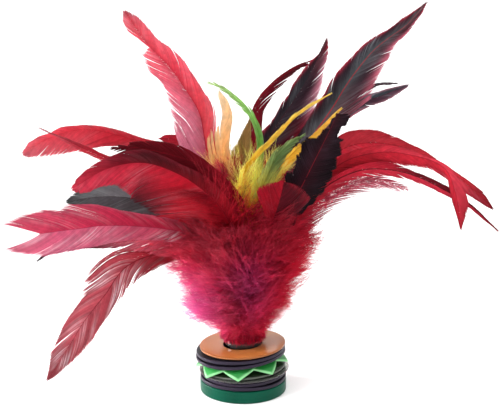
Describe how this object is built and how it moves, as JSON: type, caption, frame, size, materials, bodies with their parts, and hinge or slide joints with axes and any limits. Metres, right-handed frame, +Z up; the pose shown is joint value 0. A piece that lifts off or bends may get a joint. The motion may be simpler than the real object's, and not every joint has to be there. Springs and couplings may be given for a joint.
{
  "type": "kicking shuttlecock",
  "caption": "Kicking shuttlecock: dyed feather bouquet and down plumes in a tube that carries loose rubber and plastic discs on a thick rubber sole.",
  "frame": {"origin": "centre of the sole's underside", "axes": "+Z up along the feather tube, +X to the right as seen from the front, +Y away from the viewer"},
  "size_m": [0.2162, 0.1571, 0.1638],
  "materials": {
    "sole_rubber": "matte moulded rubber",
    "black_rubber": "cut sheet rubber with a satin face",
    "clear_plastic": "clear soft plastic",
    "star_plastic": "bright translucent plastic",
    "top_plastic": "glossy, plain",
    "black_plastic": "satin",
    "steel": "plain",
    "thread": "twisted thread",
    "glue": "set glue",
    "coral_feather": "dyed feather",
    "red_feather": "dyed feather",
    "crimson_feather": "dyed feather",
    "maroon_feather": "dyed feather",
    "pink_feather": "dyed feather",
    "grey_feather": "feather",
    "black_red_feather": "dyed feather",
    "peach_feather": "dyed feather",
    "green_feather": "dyed feather",
    "olive_feather": "dyed feather",
    "yellow_feather": "dyed feather",
    "dull_green_feather": "dyed feather",
    "down": "dyed down"
  },
  "bodies": {
    "core": {"back_arched_feather": "red_feather", "back_left_feather": "coral_feather", "back_low_left_feather": "pink_feather", "back_low_right_feather": "red_feather", "back_right_feather": "crimson_feather", "big_red_arched_feather": "crimson_feather", "binding_thread": "thread", "collar_ring": "black_plastic", "curled_red_feather": "red_feather", "down_plume_01": "down", "down_plume_02": "down", "down_plume_03": "down", "down_plume_04": "down", "down_plume_05": "down", "down_plume_06": "down", "down_plume_07": "down", "down_plume_08": "down", "down_plume_09": "down", "down_plume_10": "down", "drooping_left_feather": "crimson_feather", "dull_green_feather": "dull_green_feather", "feather_tube": "black_plastic", "fork_tipped_feather": "pink_feather", "frayed_right_feather": "crimson_feather", "front_rounded_feather": "maroon_feather", "glue_plug": "glue", "green_hackle": "green_feather", "grey_feather": "grey_feather", "maroon_arched_feather": "maroon_feather", "olive_feather": "olive_feather", "peach_feather": "peach_feather", "right_red_feather": "red_feather", "rounded_small_feather": "maroon_feather", "short_black_feather": "black_red_feather", "small_black_leaf": "black_red_feather", "small_black_sliver": "black_red_feather", "small_red_feather": "red_feather", "sole": "sole_rubber", "split_strand_feather": "maroon_feather", "stepped_black_feather": "black_red_feather", "tall_black_feather": "black_red_feather", "tall_coral_feather": "coral_feather", "thin_edged_feather": "crimson_feather", "thin_stem_feather": "crimson_feather", "upper_left_feather": "red_feather", "weight_washer": "steel", "yellow_back_feather": "yellow_feather", "yellow_spike": "yellow_feather"},
    "lower_disc_a": {"lower_rubber_disc_a": "black_rubber"},
    "lower_disc_b": {"lower_rubber_disc_b": "black_rubber"},
    "clear_flat": {"clear_flat_disc": "clear_plastic"},
    "clear_dome": {"clear_dome_disc": "clear_plastic"},
    "star": {"star_disc": "star_plastic"},
    "upper_disc_b": {"upper_rubber_disc_b": "black_rubber"},
    "upper_disc_a": {"upper_rubber_disc_a": "black_rubber"},
    "top": {"top_disc": "top_plastic"}
  },
  "joints": [
    {"name": "lower_disc_a_spin", "type": "hinge", "parent": "core", "child": "lower_disc_a", "pos_m": [0, 0, 0.00645], "axis": [0, 0, 1], "continuous": true},
    {"name": "lower_disc_b_spin", "type": "hinge", "parent": "core", "child": "lower_disc_b", "pos_m": [0.0002, 0, 0.0085], "axis": [-0.0175, 0, 0.9998], "continuous": true},
    {"name": "clear_flat_spin", "type": "hinge", "parent": "core", "child": "clear_flat", "pos_m": [0.0004, 0, 0.01002], "axis": [-0.0314, 0, 0.9995], "continuous": true},
    {"name": "clear_dome_spin", "type": "hinge", "parent": "core", "child": "clear_dome", "pos_m": [0.0001, 0, 0.014], "axis": [-0.0558, 0, 0.9984], "continuous": true},
    {"name": "star_spin", "type": "hinge", "parent": "core", "child": "star", "pos_m": [-0.001, 0, 0.01535], "axis": [-0.0872, 0, 0.9962], "continuous": true},
    {"name": "upper_pack_slide", "type": "slide", "parent": "core", "child": "upper_disc_b", "axis": [0, 0, 1], "range_m": [0, 0.0006]},
    {"name": "upper_disc_a_spin", "type": "hinge", "parent": "upper_disc_b", "child": "upper_disc_a", "pos_m": [-0.0011, 0, 0.01895], "axis": [-0.0767, 0, 0.9971], "continuous": true},
    {"name": "top_disc_spin", "type": "hinge", "parent": "upper_disc_b", "child": "top", "pos_m": [-0.0003, 0, 0.0208], "axis": [-0.0523, 0, 0.9986], "continuous": true}
  ]
}
